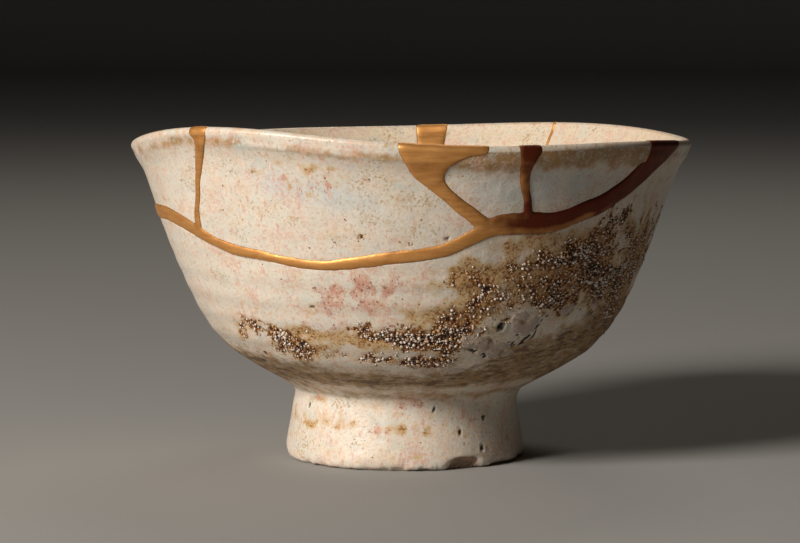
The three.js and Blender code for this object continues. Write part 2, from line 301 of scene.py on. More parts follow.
def pitDepth(angle, height):
    total = 0
    height = finishedHeight(angle, height)
    wall = np.interp(height, wallLine[:, 0], wallLine[:, 1])
    for at, level, radius, depth in pits:
        across = np.radians(turnFrom(angle, at)) * wall
        away = np.hypot(across, height - level) / radius
        total = total + depth * np.exp(-away**4) - 0.12 * depth * np.exp(-((away - 1.5) * 2.2) ** 2)
    return total


def onWallLine(angle, height):
    # the plain outer wall, where the glaze's noises are read
    return place(angle, wallAt(np.maximum(height, neckHeight))[0], height)


# Bands of the glaze by height in mm: the stain low on the wall, and where it is thin on shoulder and neck.
bands = {"stainTop": 27.6, "stainSoft": 3.4, "stainLow": 19.6, "shoulder": 79.4, "underLip": 75.6,
         "neck": 19.4}


def glazeMasks(angle, height):
    # every soft mask of the outer glaze at once, from 0 to 1, broken up by noise
    here = onWallLine(angle, height)
    turned = turnFrom(angle, 0)
    rough = drift(here, 5.5, 11, 4)
    fine = drift(here, 2.0, 23, 3)
    broad = drift(here, 24.0, 29, 3)
    behind = smooth(np.abs(turned), 62, 88)
    belt = np.exp(-(((height - hiddenSides["height"] - 6 * broad) / hiddenSides["spread"]) ** 2))
    belt = behind * hiddenSides["strength"] * belt * smooth(drift(here, 17.0, 37, 2), -0.35, 0.45)
    masks = {}

    # crawled patches, and the rust that spreads a little past them
    field = 1 - np.exp(-np.maximum(spots(angle, height, glazeMap["crawl"]), belt))
    near = smooth(field, 0.04, 0.3)
    masks["crawl"] = smooth(field + (0.24 * rough + 0.30 * fine) * near, 0.10, 1.02)
    masks["rust"] = smooth(field * 1.3 + 0.3 * drift(here, 7.0, 31, 3) * near, 0.05, 1.1)
    masks["blush"] = smooth(spots(angle, height, glazeMap["blush"]) + 0.38 * rough + 0.36 * fine, 0.30, 1.25)
    cool = spots(angle, height, glazeMap["cool"]) + behind * 0.7 * smooth(broad, 0.0, 0.5)
    masks["cool"] = smooth(cool + 0.35 * drift(here, 9.0, 41, 3), 0.0, 1.6)

    # thick islands, and the cracks along their lower side
    thick = spots(angle, height, glazeMap["island"]) + behind * belt * smooth(-broad, 0.1, 0.5) * 0.6
    isle = thick + (0.26 * rough + 0.24 * fine) * smooth(thick, 0, 0.3)
    masks["island"] = smooth(isle, 0.30, 0.74)
    below = spots(angle, height + 0.9, glazeMap["island"])
    rim = np.exp(-(((isle - 0.34) / 0.085) ** 2))
    masks["crack"] = rim * smooth(below - thick, -0.04, 0.08) * smooth(thick, 0.1, 0.3)
    ochre = spots(angle, height, glazeMap["ochre"]) + behind * 0.5 * belt
    masks["ochre"] = smooth(ochre + (0.35 * rough + 0.35 * fine) * smooth(ochre, 0, 0.4), 0.10, 1.25)

    # the brown stain above the neck climbs higher on the right side
    climb = (6 * smooth(turned, 18, 30) + 10 * smooth(turned, 34, 60)) * (1 - smooth(turned, 80, 130))
    edge = bands["stainTop"] + 1.8 * rough + climb + 4 * smooth(-turned, 32, 56)
    stain = smooth(edge - height, -bands["stainSoft"], bands["stainSoft"])
    stain = stain * smooth(height + 0.9 * rough, bands["stainLow"], bands["stainLow"] + 3.8)
    masks["umber"] = stain * (1 - 0.75 * masks["island"])
    band = smooth(turned, -2, 12) * (1 - smooth(turned, 60, 76))
    shoulder = np.exp(-(((height - bands["shoulder"] - 0.6 * rough) / 1.3) ** 2)) * (0.55 + 0.4 * rough)
    underLip = smooth(height + rough, bands["underLip"], bands["underLip"] + 3.2)
    neck = np.exp(-(((height - bands["neck"] - 0.8 * rough) / 1.5) ** 2)) * (0.7 + 0.4 * fine)
    masks["tan"] = np.maximum(shoulder, 0.9 * band * underLip) + 0.9 * neck
    masks["clay"] = smooth(0.2 + 0.7 * rough - height, 0, 0.5)
    masks["pit"] = np.clip(pitDepth(angle, height) / 0.3, 0, 1)
    masks["crawl"] = masks["crawl"] * (1 - smooth(masks["island"], 0.4, 0.7))
    return masks


surface = {                     # relief in mm, and the heights where it sits
    "rings": 0.075, "ridge": 0.2, "ridgeHeight": 79.3, "groove": 0.05, "grooveHeight": 77.2,
    "lumps": 0.20, "orangePeel": 0.035, "footLumps": 0.06,
    "crawl": -0.16, "island": 0.20, "crack": -0.16, "clay": -0.10,
    "innerRings": 0.10, "innerLumps": 0.12,
}


def outerRelief(angle, height, masks):
    # throwing rings, slow lumps, sunk crawled glaze, thick islands and pits, in mm outwards
    here = onWallLine(angle, height)
    onWall = smooth(height, 20, 28) * (1 - smooth(height, 80.2, 81.6))
    rings = surface["rings"] * np.sin(height * 1.15 + 0.6 * np.sin(angle + 1)) * (1 - smooth(height, 45, 66))
    facing = np.exp(-(((np.degrees(angle) + 18) / 26) ** 2))
    rings = rings + surface["ridge"] * facing * np.exp(-(((height - surface["ridgeHeight"]) / 0.55) ** 2))
    rings = rings - surface["groove"] * np.exp(-(((height - surface["grooveHeight"]) / 1.5) ** 2))
    lumps = surface["lumps"] * drift(here, 26.0, 51, 2) + surface["orangePeel"] * drift(here, 3.4, 57, 2)
    relief = (rings + lumps) * onWall
    relief = relief + surface["footLumps"] * drift(here, 5.0, 61, 2) * (1 - smooth(height, 16, 20))
    for key in ("crawl", "island", "crack", "clay"):
        relief = relief + surface[key] * masks[key]
    return relief - pitDepth(angle, height)


def innerRelief(angle, height):
    here = onWallLine(angle, height)
    fade = 1 - smooth(height, 79.5, 81.5)
    lumps = surface["innerLumps"] * drift(here + 90.0, 22.0, 71, 2)
    return (surface["innerRings"] * np.sin(height * 0.95 + angle) + lumps) * fade


def heightAt(way):
    return np.interp(way, wallWay, wallLine[:, 0])


def outerPoint(angle, height, relief, extra=0.0):
    radius, out, up = wallAt(height)
    lift = relief + extra
    return place(angle, radius + out * lift, height + up * lift)


def innerPoint(angle, height, extra=0.0):
    radius, out, up = wallAt(height)
    depth = thicknessAt(height) + innerRelief(angle, height) + extra
    return place(angle, radius - out * depth, height - up * depth)


def lipPoint(angle, height, turn, bulge, extra=0.0):
    # round the top edge from outside (turn 0) to inside (turn pi); bulge 1 is the round lip, 0 a flat break
    radius, out, up = wallAt(height)
    half = thicknessAt(height) / 2
    reach = half + extra
    across = np.cos(turn) * reach
    above = np.sin(turn) * reach * bulge
    return place(angle, radius - out * half + out * across - up * above,
                 height - up * half + up * across + out * above)


# The seams' edges as smooth lines: a running edge gives a height for an angle, a rising edge the reverse.
def runningEdge(table, column):
    points = [(math.radians(row[0]) * meanRadius, row[column]) for row in table if row[column] < edgeOver]
    line = curveThrough(points, 900)
    return line[:, 0] / meanRadius, line[:, 1]


def risingEdge(table, column):
    points = [(row[0], math.radians(row[column]) * meanRadius) for row in reversed(table)]
    line = curveThrough(points, 300)
    return line[:, 0], line[:, 1] / meanRadius


longLow = runningEdge(repair["long"], 1)
longHigh = runningEdge(repair["long"], 2)
rising = {name: (risingEdge(repair[name], 1), risingEdge(repair[name], 2))
          for name in ("left", "narrow", "back", "chipFill", "hairline")}


def wobble(angle, height):
    # the brushed edge of the lacquer is never quite straight
    here = np.stack([angle * meanRadius, height, 0 * height], axis=-1)
    return 0.07 * drift(here, 3.2, 83, 2)


def inGold(angle, height):
    # distance in mm inside the gold, negative outside: the strips' own distances, joined with rounded corners
    uneven = wobble(angle, height)
    low = np.interp(angle, *longLow) - uneven
    overLip = angle > math.radians(repair["overLipFrom"])
    high = np.where(overLip, farAbove, np.interp(angle, *longHigh)) + uneven
    slopeLow = np.cos(np.arctan(np.gradient(longLow[1], longLow[0] * meanRadius)))
    slopeHigh = np.cos(np.arctan(np.gradient(longHigh[1], longHigh[0] * meanRadius)))
    fromLow = (height - low) * np.interp(angle, longLow[0], slopeLow)
    fromHigh = (high - height) * np.interp(angle, longHigh[0], slopeHigh)
    start = (angle - math.radians(repair["longEnds"][0])) * meanRadius
    end = (math.radians(repair["longEnds"][1]) - angle) * meanRadius
    field = np.minimum(np.minimum(fromLow, fromHigh), np.minimum(start, end))
    for name in ("left", "narrow", "back", "chipFill"):
        within = []
        for way, (heights, angles) in zip((1, -1), rising[name]):
            tilt = np.cos(np.arctan(np.gradient(angles * meanRadius, heights)))
            across = way * (angle - np.interp(height, heights, angles)) * meanRadius
            within.append(across * np.interp(height, heights, tilt))
        strip = np.minimum(np.minimum(*within) + uneven, height - rising[name][0][0][0])
        blend = np.clip(0.5 + 0.5 * (strip - field) / repair["fillet"], 0, 1)
        field = field + (strip - field) * blend + repair["fillet"] * blend * (1 - blend) * 0.5
    return field + repair["spill"]


def hexLinear(code):
    # sRGB hex turned linear
    srgb = np.array([int(code[i:i + 2], 16) / 255 for i in (1, 3, 5)])
    linear = np.where(srgb <= 0.04045, srgb / 12.92, ((srgb + 0.055) / 1.055) ** 2.4)
    return (*linear.tolist(), 1.0)


def addMesh(name, points, quads, triangles, masks, slot="glaze"):
    mesh = bpy.data.meshes.new(name)
    mesh.vertices.add(len(points))
    mesh.vertices.foreach_set("co", (points * mm).astype(np.float32).ravel())
    loops = np.concatenate([quads.ravel(), triangles.ravel()]).astype(np.int32)
    mesh.loops.add(len(loops))
    mesh.loops.foreach_set("vertex_index", loops)
    mesh.polygons.add(len(quads) + len(triangles))
    starts = np.concatenate([np.arange(len(quads)) * 4, len(quads) * 4 + np.arange(len(triangles)) * 3])
    mesh.polygons.foreach_set("loop_start", starts.astype(np.int32))
    mesh.update(calc_edges=True)
    mesh.validate()
    mesh.polygons.foreach_set("use_smooth", np.ones(len(mesh.polygons), bool))
    for key, values in masks.items():
        attribute = mesh.attributes.new(key, "FLOAT", "POINT")
        attribute.data.foreach_set("value", np.asarray(values, np.float32).ravel())
    made = bpy.data.objects.new(name, mesh)
    bpy.context.scene.collection.objects.link(made)
    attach(made, "root")
    print(f"{name}: {len(mesh.vertices)} points, {len(mesh.polygons)} faces")
    return made


def gridFaces(rows, columns, closeRows=False, closeColumns=False):
    # quads of a grid whose points run row by row
    r = np.arange(rows if closeRows else rows - 1)[:, None]
    c = np.arange(columns if closeColumns else columns - 1)[None, :]
    r2, c2 = (r + 1) % rows, (c + 1) % columns
    corners = [r * columns + c, r * columns + c2, r2 * columns + c2, r2 * columns + c]
    return np.stack(corners, axis=-1).reshape(-1, 4)


maskNames = ("crawl", "rust", "blush", "cool", "island", "crack", "ochre", "umber", "tan", "clay", "pit")


def blankMasks(shape, inside=0.0):
    blank = {key: np.zeros(shape) for key in maskNames}
    blank["inside"] = np.full(shape, inside)
    return blank


quietMasks = {key: 0.0 for key in maskNames}
noTriangles = np.zeros((0, 3), int)


def joinMasks(parts):
    return {key: np.concatenate([np.broadcast_to(p[key], p["inside"].shape).reshape(-1) for p in parts])
            for key in parts[0]}


def lipOver(angle, top, bulge, rows):
    # rows of points and masks over the top edge, from outside to inside
    turns = np.linspace(0, math.pi, rows + 2)[1:-1][:, None]
    points = lipPoint(angle, top, turns, bulge)
    masks = blankMasks(points.shape[:2])
    masks["tan"] = 0.35 * np.ones(points.shape[:2]) * bulge
    masks["inside"] = smooth(turns, 0.5 * math.pi, 0.95 * math.pi) * np.ones(points.shape[:2])
    return points, masks


def bodyColumns(count):
    # angles of the body's columns, which crowd towards the front and where the broken edge is steep, and the
    # plain height at which each one ends
    wholeFrom, wholeTo, backCut = (math.radians(value) for value in repair["wholeRim"])
    line = np.linspace(backCut, backCut + 2 * math.pi, 4001)
    dropHeights, dropAngles = rising["back"][0]
    drop = np.interp(line, dropAngles[::-1], dropHeights[::-1])
    top = np.where(line < wholeTo, drop, np.interp(line, *longLow))
    top = np.where(line > wholeFrom, farAbove, top)
    plain = np.minimum(nominal(line, top + repair["lap"]), lipBase)
    steep = np.clip(np.abs(np.gradient(plain, line * meanRadius)), 0, 6)
    front = 0.5 + 0.5 * np.cos(line * 0.9)
    density = (0.55 + 0.45 * smooth(front, 0.15, 0.7)) * np.sqrt(1 + steep**2)
    share = np.concatenate([[0], np.cumsum((density[1:] + density[:-1]) / 2)])
    angle = np.interp(np.linspace(0, share[-1], count + 1)[:-1], share, line)
    return angle, np.interp(angle, line, plain)


def buildFoot(angle, rows):
    # the recess, the foot ring with its worn edge and chip, and the foot's side; the rows are even up the
    # side and wider apart across the hidden recess
    profile = curveThrough(pot["foot"], 600)
    crowd = np.cumsum(np.where(profile[:, 0] > 25, 1.0, 0.3))
    steps = np.linspace(crowd[0], crowd[-1], rows)
    foot = np.stack([np.interp(steps, crowd, profile[:, k]) for k in range(2)], axis=1)[1:-1]
    radius = foot[:, 0][:, None] * np.ones_like(angle)
    height = foot[:, 1][:, None] * np.ones_like(angle)
    turn = turnFrom(angle, pot["chip"]["angle"])
    chip = np.clip(1 - (turn / pot["chip"]["halfWidth"]) ** 2, 0, 1)
    here = place(angle, radius, height)
    onSide = (radius > 29.5) * smooth(3.6 - height, 0, 2.6)
    worn = np.clip(drift(here, 5.0, 91, 3) + 0.1, 0, 1) * 0.7 + 0.10 * (drift(here, 1.3, 93, 2) + 1)
    bite = worn + chip * pot["chip"]["rise"] * (0.8 + 0.2 * drift(here, 3.0, 95, 2))
    inward = onSide * np.clip(bite, 0, 3)
    height = height + inward * 0.75 * (height < 3.6)
    radius = radius - inward * 0.42
    upFoot = (np.arange(len(foot))[:, None] > (len(foot) + 1) * 0.4) & (foot[:, 0][:, None] > 28.5)
    around = angle + 0 * height
    masks = glazeMasks(around, height)
    relief = outerRelief(around, height, masks)
    radius = np.where(upFoot, radius + relief * smooth(height, 1.0, 3.0), radius)
    bare = blankMasks(height.shape)
    clay = np.where(upFoot, np.clip(masks["clay"] + smooth(chip * inward, 0.3, 0.8), 0, 1), 1.0)
    masks = {key: np.where(upFoot, masks.get(key, 0 * height), bare[key]) for key in bare}
    masks["clay"] = clay
    return place(angle, radius, height), masks


def buildBody(settings):
    print("turning the body")
    angle, edge = bodyColumns(settings["columns"])
    a, top = angle[None, :], edge[None, :]
    foot, footMasks = buildFoot(a, settings["footRows"])

    rise = np.linspace(0, 1, settings["wallRows"])[:, None]
    wallHeight = heightAt(rise * np.interp(edge, wallLine[:, 0], wallWay)[None, :])
    wallAngle = a + 0 * wallHeight
    wallMasks = glazeMasks(wallAngle, wallHeight)
    wallMasks["inside"] = np.zeros(wallHeight.shape)
    wall = outerPoint(wallAngle, wallHeight, outerRelief(wallAngle, wallHeight, wallMasks))

    lip, lipMasks = lipOver(a, top, smooth(top, lipBase - 1.2, lipBase - 0.05), settings["lipRows"])
    down = np.linspace(0, 1, settings["innerRows"])[:, None]
    inner = innerPoint(a, top + (pot["hollowStart"] - top) * down)
    radius, out, up = wallAt(pot["hollowStart"])
    depth = thicknessAt(pot["hollowStart"])
    share = np.linspace(1, 0, settings["floorRows"] + 1)[1:-1][:, None] * np.ones_like(a)
    floorRise = pot["hollowStart"] - up * depth - pot["floorHeight"]
    floor = place(a + 0 * share, (radius - out * depth) * share, pot["floorHeight"] + floorRise * share**2)

    parts = [foot, wall, lip, inner, floor]
    inside = [blankMasks(part.shape[:2], 1.0) for part in (inner, floor)]
    masks = joinMasks([footMasks, wallMasks, lipMasks, *inside])
    poles = np.array([[pot["footOffset"], 0, pot["recessHeight"]], [0, 0, pot["floorHeight"]]])
    points = np.concatenate([*[part.reshape(-1, 3) for part in parts], poles])
    points[:, 2] = np.maximum(points[:, 2], 0)
    poleMasks = {"clay": [1.0, 0.0], "inside": [0.0, 1.0]}
    masks = {key: np.concatenate([value, poleMasks.get(key, [0.0, 0.0])]) for key, value in masks.items()}
    rows, columns = sum(len(part) for part in parts), len(angle)
    quads = gridFaces(rows, columns, closeColumns=True)
    c = np.arange(columns)
    c2 = (c + 1) % columns
    last = (rows - 1) * columns
    under = np.stack([np.full(columns, len(points) - 2), c2, c], axis=1)
    over = np.stack([np.full(columns, len(points) - 1), last + c, last + c2], axis=1)
    return points, quads, np.vstack([under, over]), masks


bodySettings = {"columns": 520, "footRows": 56, "wallRows": 84, "lipRows": 9, "innerRows": 30,
                "floorRows": 12}
body = addMesh("bowl_body_glazed", *buildBody(bodySettings))
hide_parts("bowl_body")


sherdLipRows = 8


def buildSherd(leftEdge, rightEdge, columns, rows):
    # u runs from the left edge to the right, v from the long seam up to the lip; both edges bend, so the
    # angle and height are found together in a few rounds
    lap = repair["lap"]
    u = np.linspace(0, 1, columns)[None, :]
    v = np.linspace(0, 1, rows)[:, None]
    height = 74.0 + 0 * u * v                   # any height on the sherds will do to start from
    for _ in range(40):
        left = leftEdge(height) - lap / meanRadius
        right = rightEdge(height) + lap / meanRadius
        angle = left + (right - left) * u
        top = finishedHeight(angle, lipBase)
        low = np.minimum(np.interp(angle, *longHigh) - lap, top)
        height = 0.5 * height + 0.5 * (low + (top - low) * v)
    plain = np.minimum(nominal(angle, height), lipBase)
    plain[-1] = lipBase
    masks = glazeMasks(angle, plain)
    masks["inside"] = np.zeros(plain.shape)
    outer = outerPoint(angle, plain, outerRelief(angle, plain, masks))
    lip, lipMasks = lipOver(angle[-1:], plain[-1:], 1.0, sherdLipRows)
    inner = innerPoint(angle[::-1], plain[::-1])
    loop = np.concatenate([outer, lip, inner])
    quads = gridFaces(len(loop), columns, closeRows=True)
    # the two ends are closed by quads from each outer row to its twin inside
    i = np.arange(len(loop) // 2 - 1)
    j = len(loop) - 1 - i
    leftCap = np.stack([i, i + 1, j - 1, j], axis=1) * columns
    rightCap = np.stack([i, j, j - 1, i + 1], axis=1) * columns + columns - 1
    masks = joinMasks([masks, lipMasks, blankMasks(inner.shape[:2], 1.0)])
    return loop.reshape(-1, 3), np.vstack([quads, leftCap, rightCap]), noTriangles, masks


def edgeOf(name, side):
    heights, angles = rising[name][side]
    return lambda height: np.interp(height, heights, angles)


def fixedEdge(degrees):
    return lambda height: math.radians(degrees) + 0 * height


rightSherdEnd = 55.0            # where the long seam has run over the lip
sherds = {      # left edge, right edge, columns, rows
    "left_rim_sherd": (edgeOf("back", 1), edgeOf("left", 0), 210, 34),
    "front_rim_sherd": (edgeOf("left", 1), edgeOf("chipFill", 0), 150, 64),
    "middle_rim_sherd": (edgeOf("chipFill", 1), edgeOf("narrow", 0), 54, 44),
    "right_rim_sherd": (edgeOf("narrow", 1), fixedEdge(rightSherdEnd), 90, 44),
}
pieces = {"bowl_body": body}
print("fitting the sherds")
for name, shape in sherds.items():
    pieces[name] = addMesh(name + "_glazed", *buildSherd(*shape))
    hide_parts(name)


def goldDepth(angle, way):
    # distance inside the gold at a place given by its way up the wall, carried on over the lip
    plain = heightAt(np.minimum(way, wallLength)) + np.clip(way - wallLength, 0, None) * 0.6
    return inGold(angle, finishedHeight(angle, plain))


def twoSided(quads, count, topRow):
    # a sheet and its mirror on the other side of the wall: they share the top row of points, and every other
    # open edge is joined to its twin
    mirror = quads[:, ::-1] + count
    mirror = np.where(mirror >= topRow + count, mirror - count, mirror)
    edges = np.stack([quads, np.roll(quads, -1, axis=1)], axis=-1).reshape(-1, 2)
    ordered = np.sort(edges, axis=1)
    keys = ordered[:, 0].astype(np.int64) * count + ordered[:, 1]
    _, first, uses = np.unique(keys, return_index=True, return_counts=True)
    rim = edges[first[uses == 1]]
    rim = rim[~(rim >= topRow).all(axis=1)]
    twin = np.where(rim >= topRow, rim, rim + count)
    walls = np.stack([rim[:, 1], rim[:, 0], twin[:, 0], twin[:, 1]], axis=1)
    return np.vstack([quads, mirror, walls])


def buildGold():
    print("laying the gold")
    cell = repair["cell"]
    lipQuarter = math.pi / 2 * pot["lipThickness"] / 2
    startWay = np.interp(50.0, wallLine[:, 0], wallWay)
    rows = int((wallLength + lipQuarter - startWay) / cell) + 1
    way = np.linspace(startWay, wallLength + lipQuarter, rows)
    first, last = (math.radians(value) for value in repair["meshSpan"])
    columns = int((last - first) * meanRadius / cell)
    angle = np.linspace(first, last, columns)
    a, w = np.meshgrid(angle, way)

    # the squares that hold gold, with their outermost points moved out to the seam's edge
    depth = goldDepth(a, w)
    byWay, byAngle = np.gradient(depth, way[1] - way[0], (angle[1] - angle[0]) * meanRadius)
    steepness = np.maximum(byWay**2 + byAngle**2, 0.2)
    inside = depth > 0.3 * cell
    grown = inside.copy()
    grown[1:] |= inside[:-1]
    grown[:-1] |= inside[1:]
    wide = grown.copy()
    wide[:, 1:] |= grown[:, :-1]
    wide[:, :-1] |= grown[:, 1:]
    step = np.where(wide & ~inside, -depth / steepness, 0)
    farthest = 1.4 * cell
    a = a + np.clip(step * byAngle, -farthest, farthest) / meanRadius
    moved = np.clip(step * byWay, -farthest, farthest)
    moved[-1] = 0
    w = np.minimum(w + moved, way[-1])
    depth = np.where(inside, depth, 0)
    kept = np.all([wide[:-1, :-1], wide[1:, :-1], wide[:-1, 1:], wide[1:, 1:]], axis=0)
    kept &= np.any([inside[:-1, :-1], inside[1:, :-1], inside[:-1, 1:], inside[1:, 1:]], axis=0)

    # how far the gold stands off the wall, rubbed down flush on the lip
    rise = repair["proud"] + repair["sink"]
    shape = rise * (1 - np.exp(-depth / repair["edge"])) - repair["sink"]
    shape = shape + repair["crown"] * smooth(depth, 0, 1.7)
    here = np.stack([a * meanRadius * 0.5, w, 0 * w], axis=-1)
    shape = shape + np.clip(depth, 0, 1) * (0.05 * drift(here, 4.0, 101, 2) + 0.02 * drift(here, 1.3, 103, 2))
    shape = shape * (1 - 0.6 * smooth(w, wallLength - 2.5, wallLength))
    height = heightAt(np.minimum(w, wallLength))
    turn = np.clip((w - wallLength) / (pot["lipThickness"] / 2), 0, math.pi / 2)
    onLip = (w > wallLength)[..., None]
    outer = outerPoint(a, height, outerRelief(a, height, quietMasks), shape)
    outer = np.where(onLip, lipPoint(a, height, turn, 1.0, shape), outer)
    inner = innerPoint(a, height, shape)
    inner = np.where(onLip, lipPoint(a, height, math.pi - turn, 1.0, shape), inner)

    # painted shade shown as worn gold: towards the right end, most along the upper edge, the colour darkens
    # to red-brown lacquer for the shade on that side; inside the bowl, where the light reaches, it darkens
    # much less
    degrees = np.degrees(a)
    upper = 0.5 + 0.5 * smooth(height - np.interp(a, *longLow), 0.8, 2.4)
    wearAndPaintedShade = smooth(degrees + 3 * drift(here, 6.0, 107, 2), 10, 34) * upper + 0.5 * smooth(degrees, 36, 56)
    wearAndPaintedShade = np.clip(wearAndPaintedShade, 0, 1)
    innerWearAndPaintedShade = wearAndPaintedShade * (1 - 0.85 * smooth(wallLength - w, -1.0, 5.0))

    count = rows * columns
    faces = twoSided(gridFaces(rows, columns)[kept.ravel()], count, count - columns)
    used, compact = np.unique(faces, return_inverse=True)
    faces = compact.reshape(faces.shape)
    doubled = faces == np.roll(faces, 1, axis=1)
    flat = doubled.any(axis=1)
    triangles = faces[flat][~doubled[flat]].reshape(-1, 3)
    points = np.concatenate([outer.reshape(-1, 3), inner.reshape(-1, 3)])[used]
    masks = {"depth": np.concatenate([depth.ravel(), depth.ravel()])[used],
             "wearAndPaintedShade": np.concatenate([wearAndPaintedShade.ravel(), innerWearAndPaintedShade.ravel()])[used]}
    return points, faces[~flat], triangles, masks


gold = addMesh("gold_seam_raised", *buildGold(), slot="gold")
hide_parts("gold_seam")


hairlineSettings = {"low": 66.4, "rows": 40, "lipRows": 8, "columns": 7, "sunk": 0.12, "crown": 0.26,
                    "depth": 0.5, "lap": 0.1}


def buildHairline(settings):
    # a thin raised strip over the back rim, carried up the outside, over the lip and down the inside
    heights, left = rising["hairline"][0]
    right = np.interp(heights, *rising["hairline"][1])
    up = np.linspace(settings["low"], lipBase, settings["rows"])[:, None]
    turns = np.linspace(0, math.pi, settings["lipRows"] + 2)[1:-1][:, None]
    across = np.linspace(-1, 1, settings["columns"])[None, :]
    crown = -settings["sunk"] + settings["crown"] * (1 - across**4)

    def strip(height, make):
        a1, a2 = np.interp(height, heights, left), np.interp(height, heights, right)
        angle = (a1 + a2) / 2 + ((a2 - a1) / 2 + settings["lap"] / meanRadius) * across
        return make(angle, height + 0 * angle)

    def skin(lift, shown):
        return np.concatenate([
            strip(up, lambda a, h: outerPoint(a, h, shown * outerRelief(a, h, quietMasks), lift)),
            strip(0 * turns + lipBase, lambda a, h: lipPoint(a, h, turns, 1.0, lift)),
            strip(up[::-1], lambda a, h: innerPoint(a, h, lift))])

    sheet = skin(crown, 1)
    rows, columns = sheet.shape[:2]
    loop = np.concatenate([sheet, skin(-settings["depth"], 0)[:, ::-1]], axis=1)
    quads = gridFaces(rows, 2 * columns, closeColumns=True)
    c = np.arange(columns - 1)
    start = np.stack([c, 2 * columns - 1 - c, 2 * columns - 2 - c, c + 1], axis=1)
    end = start[:, ::-1] + (rows - 1) * 2 * columns
    depth = {"depth": np.full(rows * 2 * columns, 0.9)}
    return loop.reshape(-1, 3), np.vstack([quads, start, end]), noTriangles, depth


hairline = addMesh("hairline_repair_raised", *buildHairline(hairlineSettings), slot="gold")
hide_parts("hairline_repair")


# Where the glaze crawled it drew up into beads: a jittered grid of places on the wall, kept where the crawl
# is strong. Each bead has three rings of points and a top; its level runs from 0 at the foot to 1.
beads = {
    "smallest": 0.16, "largest": 0.50, "sides": 6, "lowest": 24.5, "clearOfLip": 6.0, "clearOfGold": 0.25,
    "rings": ((1.0, -0.35), (0.98, 0.22), (0.62, 0.66)), "top": 0.8,        # reach and rise, in bead radii
    "front": {"start": -75, "end": 75, "spacing": 0.66, "seed": 5, "strength": 1.0},
    "back": {"start": 75, "end": 285, "spacing": 0.9, "seed": 6, "strength": 0.8},
}


def beadPlaces(chance, start, end, spacing, strength):
    lowest = np.interp(beads["lowest"], wallLine[:, 0], wallWay)
    ways = np.arange(lowest, wallLength - beads["clearOfLip"], spacing)
    columns = int((end - start) * meanRadius / spacing)
    way = ways[:, None] + spacing * (chance.random((len(ways), columns)) - 0.5) * 0.8
    along = (np.arange(columns)[None, :] + (np.arange(len(ways)) % 2)[:, None] * 0.5
             + (chance.random(way.shape) - 0.5) * 0.8)
    angle = start + along * spacing / meanRadius
    height = heightAt(way)
    masks = glazeMasks(angle, height)
    clear = -inGold(angle, finishedHeight(angle, height))
    clustered = cloud(place(angle, meanRadius, height), 3.0, 77)
    want = strength * masks["crawl"] ** 1.2 * (0.62 + 0.5 * clustered)
    want = np.maximum(want, strength * 0.5 * masks["rust"] * smooth(clustered, 0.45, 0.8))
    narrow = wallAt(height)[0] / meanRadius
    keep = (chance.random(way.shape) < want * narrow) & (clear > beads["clearOfGold"]) & (masks["pit"] < 0.3)
    return angle[keep], height[keep], {key: value[keep] for key, value in masks.items()}


def buildBeads(settings):
    chance = np.random.default_rng(settings["seed"])
    start, end = math.radians(settings["start"]), math.radians(settings["end"])
    angle, height, masks = beadPlaces(chance, start, end, settings["spacing"], settings["strength"])
    size = beads["smallest"] + (beads["largest"] - beads["smallest"]) * chance.random(angle.shape) ** 1.8
    size = (size * (0.75 + 0.35 * masks["crawl"]))[:, None, None]
    base = outerPoint(angle, height, outerRelief(angle, height, masks))[:, None, :]
    out, up = wallAt(height)[1:]
    normal = np.stack([out * np.sin(angle), -out * np.cos(angle), up], axis=1)[:, None, :]
    side = np.stack([np.cos(angle), np.sin(angle), 0 * angle], axis=1)[:, None, :]
    slope = np.cross(normal, side)
    count, sides = len(angle), beads["sides"]
    spin = np.linspace(0, 2 * math.pi, sides, endpoint=False)[None, :] + chance.random((count, 1)) * 6
    stretch = 1 + 0.25 * (chance.random((count, 1)) - 0.5)
    around = (np.cos(spin) * stretch)[..., None] * side + (np.sin(spin) / stretch)[..., None] * slope
    rings = [base + (around * reach + level * normal) * size for reach, level in beads["rings"]]
    points = np.concatenate([*rings, base + beads["top"] * normal * size], axis=1)
    each = points.shape[1]
    k = np.arange(sides)
    k2 = (k + 1) % sides
    band = np.stack([k, k2, k2 + sides, k + sides], axis=1)
    quads = np.vstack([band, band + sides, [[0, 3, 2, 1], [0, 5, 4, 3]]])
    cap = np.stack([k + 2 * sides, k2 + 2 * sides, np.full(sides, 3 * sides)], axis=1)
    shift = (np.arange(count) * each)[:, None, None]
    tone = np.repeat(chance.random(count), each)
    level = np.tile(np.repeat([0.0, 0.5, 0.9, 1.0], [sides, sides, sides, 1]), count)
    return (points.reshape(-1, 3), (quads[None] + shift).reshape(-1, 4), (cap[None] + shift).reshape(-1, 3),
            {"tone": tone, "level": level})


print("beading the crawled glaze")
beadsFront = addMesh("glaze_beads_front", *buildBeads(beads["front"]))
beadsBack = addMesh("glaze_beads_back", *buildBeads(beads["back"]))


def addNode(tree, kind, inputs=None, **settings):
    # one node with its settings; an input given another node's output is linked, any other is set as a value
    node = tree.nodes.new("ShaderNode" + kind)
    for key, value in settings.items():
        setattr(node, key, value)
    for key, value in (inputs or {}).items():
        if isinstance(value, bpy.types.NodeSocket):
            tree.links.new(value, node.inputs[key])
        else:
            node.inputs[key].default_value = value
    return node


def newMaterial(name):
    material = bpy.data.materials.new(name)
    material.use_nodes = True
    tree = material.node_tree
    tree.nodes.clear()
    where = addNode(tree, "TexCoord").outputs["Object"]
    return material, tree, where


perMm = 1 / mm                  # noise scale for a feature one millimetre across


